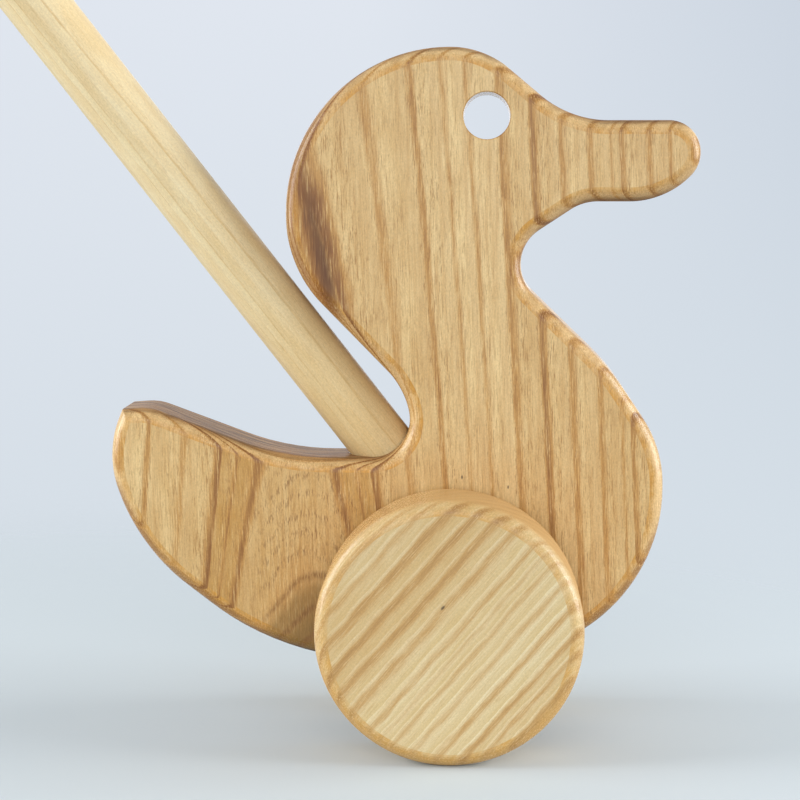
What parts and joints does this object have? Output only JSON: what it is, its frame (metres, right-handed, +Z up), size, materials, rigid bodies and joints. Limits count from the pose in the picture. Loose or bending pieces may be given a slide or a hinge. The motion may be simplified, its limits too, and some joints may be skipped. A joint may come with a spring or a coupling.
{
  "type": "duck push toy",
  "caption": "Flat wooden duck cut from a board, with a drilled hole for its eye, plain wheels on an axle through the belly and a slanted dowel handle for pushing it along.",
  "frame": {"origin": "on the floor under the middle of the overall box, handle included, halfway between the wheels", "axes": "+X the way the duck looks and is pushed, +Y to the duck's left along the axle, +Z up"},
  "size_m": [0.3831, 0.08, 0.457],
  "materials": {
    "ash_board": "oiled ash, sanded smooth, satin",
    "birch_dowel": "pale oiled dowel, satin",
    "beech_dowel": "bare dowel, matt",
    "ash_wheel": "pale oiled ash, satin"
  },
  "bodies": {
    "duck": {"duck_body": "ash_board", "push_handle": "birch_dowel"},
    "wheelset": {"axle": "beech_dowel", "right_wheel": "ash_wheel", "left_wheel": "ash_wheel"}
  },
  "joints": [
    {"name": "wheelset_spin", "type": "hinge", "parent": "duck", "child": "wheelset", "pos_m": [0.12157, 0, 0.0375], "axis": [0, 1, 0], "continuous": true}
  ]
}
